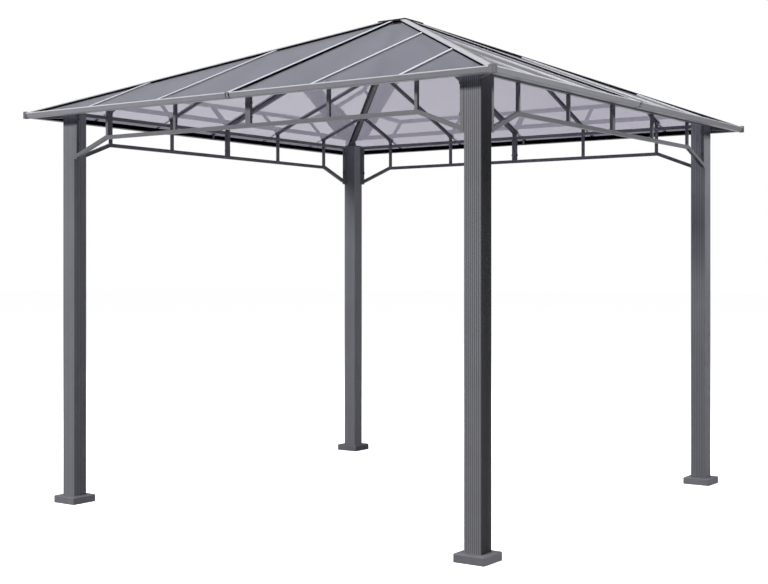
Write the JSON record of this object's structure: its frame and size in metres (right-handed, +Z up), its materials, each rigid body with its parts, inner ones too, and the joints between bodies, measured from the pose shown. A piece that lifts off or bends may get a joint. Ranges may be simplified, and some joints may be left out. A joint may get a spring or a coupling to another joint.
{
  "type": "metal garden gazebo",
  "caption": "Square open-sided garden gazebo with fluted metal posts, lattice trusses and a pyramid roof of smoked clear panels on rafters.",
  "frame": {"origin": "on the ground at the centre of the footprint", "axes": "+Z up, +X to the right and +Y to the back; the front is at -Y and all four sides are alike"},
  "size_m": [3, 3, 2.7322],
  "materials": {
    "post_paint": "satin anthracite powder coat",
    "truss_paint": "satin anthracite powder coat",
    "rafter_paint": "satin anthracite powder coat",
    "bracket_steel": "satin black coat",
    "fascia_paint": "satin grey powder coat",
    "hip_trim": "satin grey powder coat",
    "joint_trim": "satin grey powder coat",
    "cap_paint": "fine textured, black",
    "corner_plastic": "fine textured, dark grey",
    "base_plastic": "fine textured, near black",
    "panel_glazing": "smoked, clear, glossy"
  },
  "bodies": {
    "root": {"post_front_left": "post_paint", "post_front_right": "post_paint", "post_back_right": "post_paint", "post_back_left": "post_paint", "base_front_left": "base_plastic", "base_front_right": "base_plastic", "base_back_right": "base_plastic", "base_back_left": "base_plastic", "truss_front_left": "truss_paint", "truss_front_right": "truss_paint", "truss_right_front": "truss_paint", "truss_right_back": "truss_paint", "truss_back_right": "truss_paint", "truss_back_left": "truss_paint", "truss_left_back": "truss_paint", "truss_left_front": "truss_paint", "hip_rafter_front_left": "rafter_paint", "hip_rafter_front_right": "rafter_paint", "hip_rafter_back_right": "rafter_paint", "hip_rafter_back_left": "rafter_paint", "rafters_front": "rafter_paint", "rafters_right": "rafter_paint", "rafters_back": "rafter_paint", "rafters_left": "rafter_paint", "roof_panels_front": "panel_glazing", "roof_panels_right": "panel_glazing", "roof_panels_back": "panel_glazing", "roof_panels_left": "panel_glazing", "joint_covers_front": "joint_trim", "joint_covers_right": "joint_trim", "joint_covers_back": "joint_trim", "joint_covers_left": "joint_trim", "hip_cover_front_left": "hip_trim", "hip_cover_front_right": "hip_trim", "hip_cover_back_right": "hip_trim", "hip_cover_back_left": "hip_trim", "fascia_front": "fascia_paint", "fascia_right": "fascia_paint", "fascia_back": "fascia_paint", "fascia_left": "fascia_paint", "post_brackets": "bracket_steel", "corner_connectors": "corner_plastic", "fascia_joints": "corner_plastic", "apex_hub": "rafter_paint", "apex_cap": "cap_paint"}
  },
  "joints": []
}
